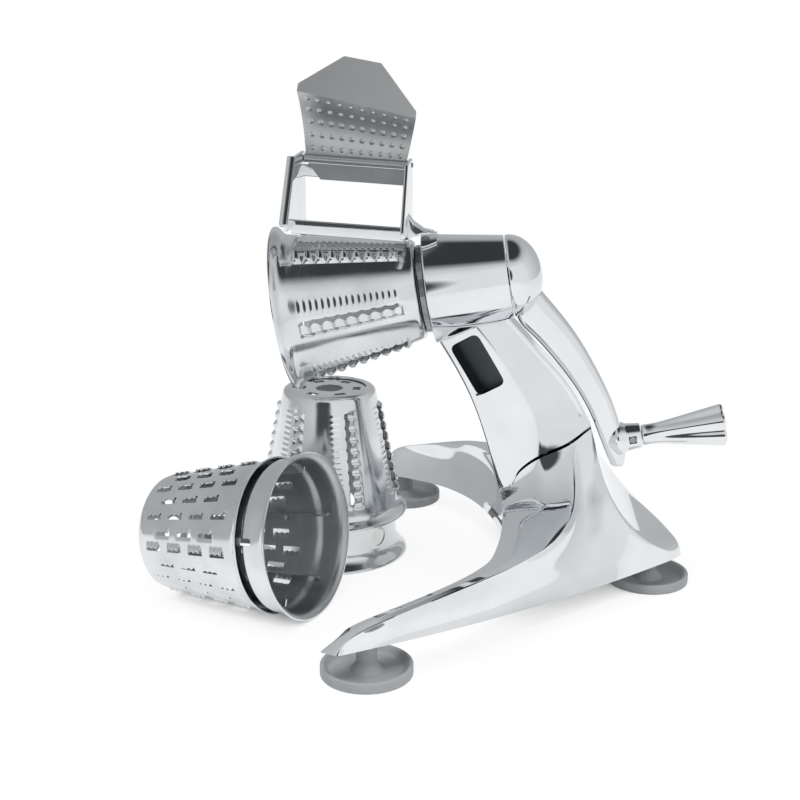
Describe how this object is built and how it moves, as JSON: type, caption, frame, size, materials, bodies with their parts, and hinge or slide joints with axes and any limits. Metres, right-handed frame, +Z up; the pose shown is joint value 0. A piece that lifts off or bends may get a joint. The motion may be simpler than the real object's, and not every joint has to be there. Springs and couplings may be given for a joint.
{
  "type": "rotary vegetable chopper",
  "caption": "Hand cranked rotary vegetable chopper: grater drum on a tilted shaft over a legged cast stand with suction cups, hinged pusher, and spare drums lying by.",
  "frame": {"origin": "centre of the flat underside of the rear suction cup, on the table", "axes": "+X towards the crank, +Y away from the user, +Z up; the drum opens towards -X"},
  "size_m": [0.3853, 0.3642, 0.3496],
  "materials": {
    "polished_chrome": "mirror polished",
    "stainless_sheet": "bright rolled sheet",
    "satin_steel": "satin",
    "sintered_bronze": "sintered",
    "grey_rubber": "moulded matt"
  },
  "bodies": {
    "stand": {"base_casting": "polished_chrome", "support_arm": "polished_chrome", "arm_bolt_front": "satin_steel", "arm_bolt_rear": "satin_steel", "suction_cup_front": "grey_rubber", "suction_cup_back": "grey_rubber", "suction_cup_rear": "grey_rubber", "cup_stud_front": "satin_steel", "cup_stud_back": "satin_steel", "cup_stud_rear": "satin_steel", "head_housing": "polished_chrome", "head_bolt_front": "satin_steel", "head_bolt_rear": "satin_steel", "bearing_plate": "satin_steel", "front_bush": "sintered_bronze", "rear_bush": "sintered_bronze", "hopper": "polished_chrome", "hopper_screw_front": "satin_steel", "hopper_screw_back": "satin_steel", "hinge_leaf": "satin_steel", "hinge_pin": "satin_steel"},
    "crank": {"drive_shaft": "satin_steel", "shaft_clip": "satin_steel", "drive_hub": "satin_steel", "hub_pin": "satin_steel", "crank_arm": "polished_chrome", "crank_pin": "satin_steel", "handle_axle": "satin_steel", "handle_washer": "satin_steel", "handle_set_screw": "satin_steel"},
    "handle": {"handle_grip": "polished_chrome"},
    "drum": {"cutting_drum": "stainless_sheet", "cutting_drum_end": "stainless_sheet"},
    "pusher": {"pusher_plate": "stainless_sheet"},
    "spare": {"spare_drum": "stainless_sheet", "spare_drum_end": "stainless_sheet", "spare_drum_collar": "stainless_sheet"},
    "fine": {"fine_drum": "stainless_sheet", "fine_drum_end": "stainless_sheet", "fine_drum_collar": "stainless_sheet"}
  },
  "joints": [
    {"name": "crank_spin", "type": "hinge", "parent": "stand", "child": "crank", "pos_m": [-0.1778, 0, 0.1979], "axis": [0.9871, 0, 0.1604], "continuous": true},
    {"name": "handle_spin", "type": "hinge", "parent": "crank", "child": "handle", "pos_m": [-0.15855, 0, 0.07945], "axis": [0.9871, 0, 0.1604], "continuous": true},
    {"name": "drum_release", "type": "slide", "parent": "crank", "child": "drum", "axis": [-0.9871, 0, -0.1604], "range_m": [0, 0.1]},
    {"name": "pusher_hinge", "type": "hinge", "parent": "stand", "child": "pusher", "pos_m": [-0.2037, 0.035, 0.2812], "axis": [0.998, 0, -0.0638], "range_deg": [0, 55]},
    {"name": "spare_drum_slide", "type": "slide", "parent": "stand", "child": "spare", "axis": [0, 1, 0], "range_m": [0, 0.04]},
    {"name": "fine_drum_slide", "type": "slide", "parent": "stand", "child": "fine", "axis": [0, -1, 0], "range_m": [0, 0.08]}
  ]
}
